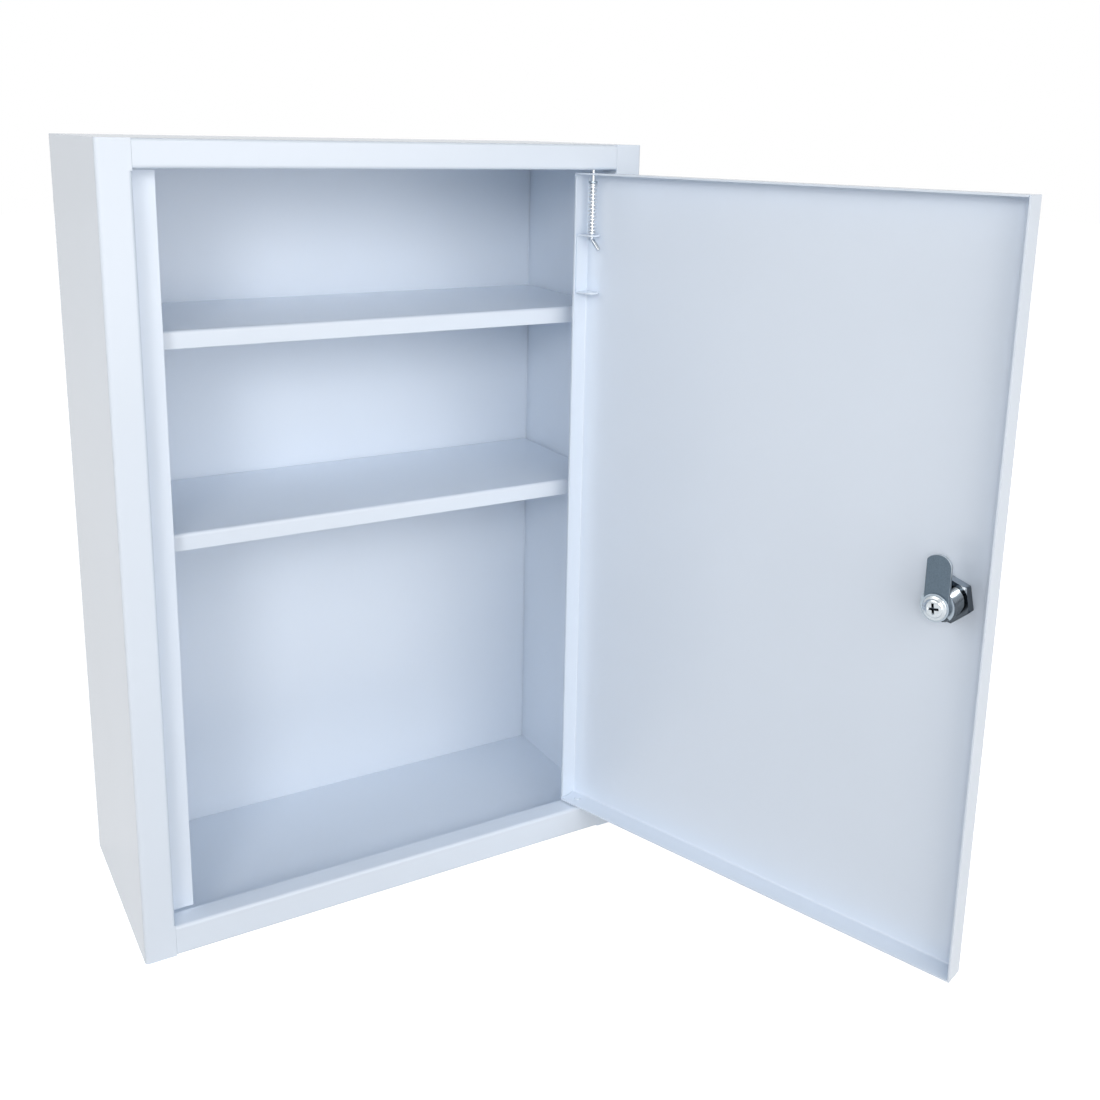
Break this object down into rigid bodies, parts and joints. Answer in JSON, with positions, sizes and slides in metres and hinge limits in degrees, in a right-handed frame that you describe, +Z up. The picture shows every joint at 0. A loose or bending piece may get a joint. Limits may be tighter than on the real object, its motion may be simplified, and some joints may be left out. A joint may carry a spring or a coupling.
{
  "type": "lockable medicine cabinet",
  "caption": "Wall cabinet in folded powder-coated sheet steel, with loose shelves and an inset, pin-hinged door closed by a keyed cam lock.",
  "frame": {"origin": "centre of the cabinet's base, on the surface it stands on", "axes": "+Z up; +Y towards the wall behind the cabinet; the door is on the -Y side and hinged on the +X side"},
  "size_m": [0.4017, 0.3907, 0.46],
  "materials": {
    "powder_coat": "white powder coat with a faint cool cast, satin, fine orange peel",
    "zinc_plate": "bright zinc-plated steel",
    "spring_wire": "drawn, plated spring wire",
    "nickel_plate": "nickel-plated, polished",
    "dark_zinc": "dark passivated steel with a fine grain",
    "brass": "stamped brass"
  },
  "bodies": {
    "cabinet": {"side_panel_left": "powder_coat", "side_panel_right": "powder_coat", "top_panel": "powder_coat", "bottom_panel": "powder_coat", "back_panel": "powder_coat", "support_upper_left": "powder_coat", "support_upper_right": "powder_coat", "support_lower_left": "powder_coat", "support_lower_right": "powder_coat", "lower_hinge_pin": "powder_coat", "lower_hinge_washer": "zinc_plate"},
    "upper_shelf": {"shelf_upper": "powder_coat"},
    "lower_shelf": {"shelf_lower": "powder_coat"},
    "door": {"door_panel": "powder_coat", "pin_bracket": "powder_coat", "pin_spring": "spring_wire", "lock_housing": "nickel_plate", "lock_washer": "zinc_plate", "lock_nut": "nickel_plate"},
    "sprung_pin": {"hinge_pin": "zinc_plate", "pin_collar": "zinc_plate"},
    "plug": {"lock_plug": "nickel_plate", "lock_wafers": "brass", "wafer_springs": "spring_wire", "lock_stop_plate": "zinc_plate", "lock_cam": "dark_zinc", "cam_washer": "zinc_plate", "cam_screw": "nickel_plate"},
    "key": {"key": "nickel_plate"}
  },
  "joints": [
    {"name": "door_hinge", "type": "hinge", "parent": "cabinet", "child": "door", "pos_m": [0.1305, -0.0625, 0.23], "axis": [0, 0, 1], "range_deg": [-109, 9]},
    {"name": "hinge_pin_slide", "type": "slide", "parent": "door", "child": "sprung_pin", "axis": [0, 0, -1], "range_m": [0, 0.008], "stiffness_N_per_m": 250, "springref_m": -0.01, "deforming": ["pin_spring"]},
    {"name": "lock_turn", "type": "hinge", "parent": "door", "child": "plug", "pos_m": [0.21768, -0.29266, 0.233], "axis": [0.9455, 0.3256, 0], "range_deg": [0, 90]},
    {"name": "key_slide", "type": "slide", "parent": "plug", "child": "key", "axis": [0.9455, 0.3256, 0], "range_m": [0, 0.02]},
    {"name": "upper_shelf_lift", "type": "slide", "parent": "cabinet", "child": "upper_shelf", "axis": [0, 0, 1], "range_m": [0, 0.03]},
    {"name": "lower_shelf_lift", "type": "slide", "parent": "cabinet", "child": "lower_shelf", "axis": [0, 0, 1], "range_m": [0, 0.03]}
  ]
}
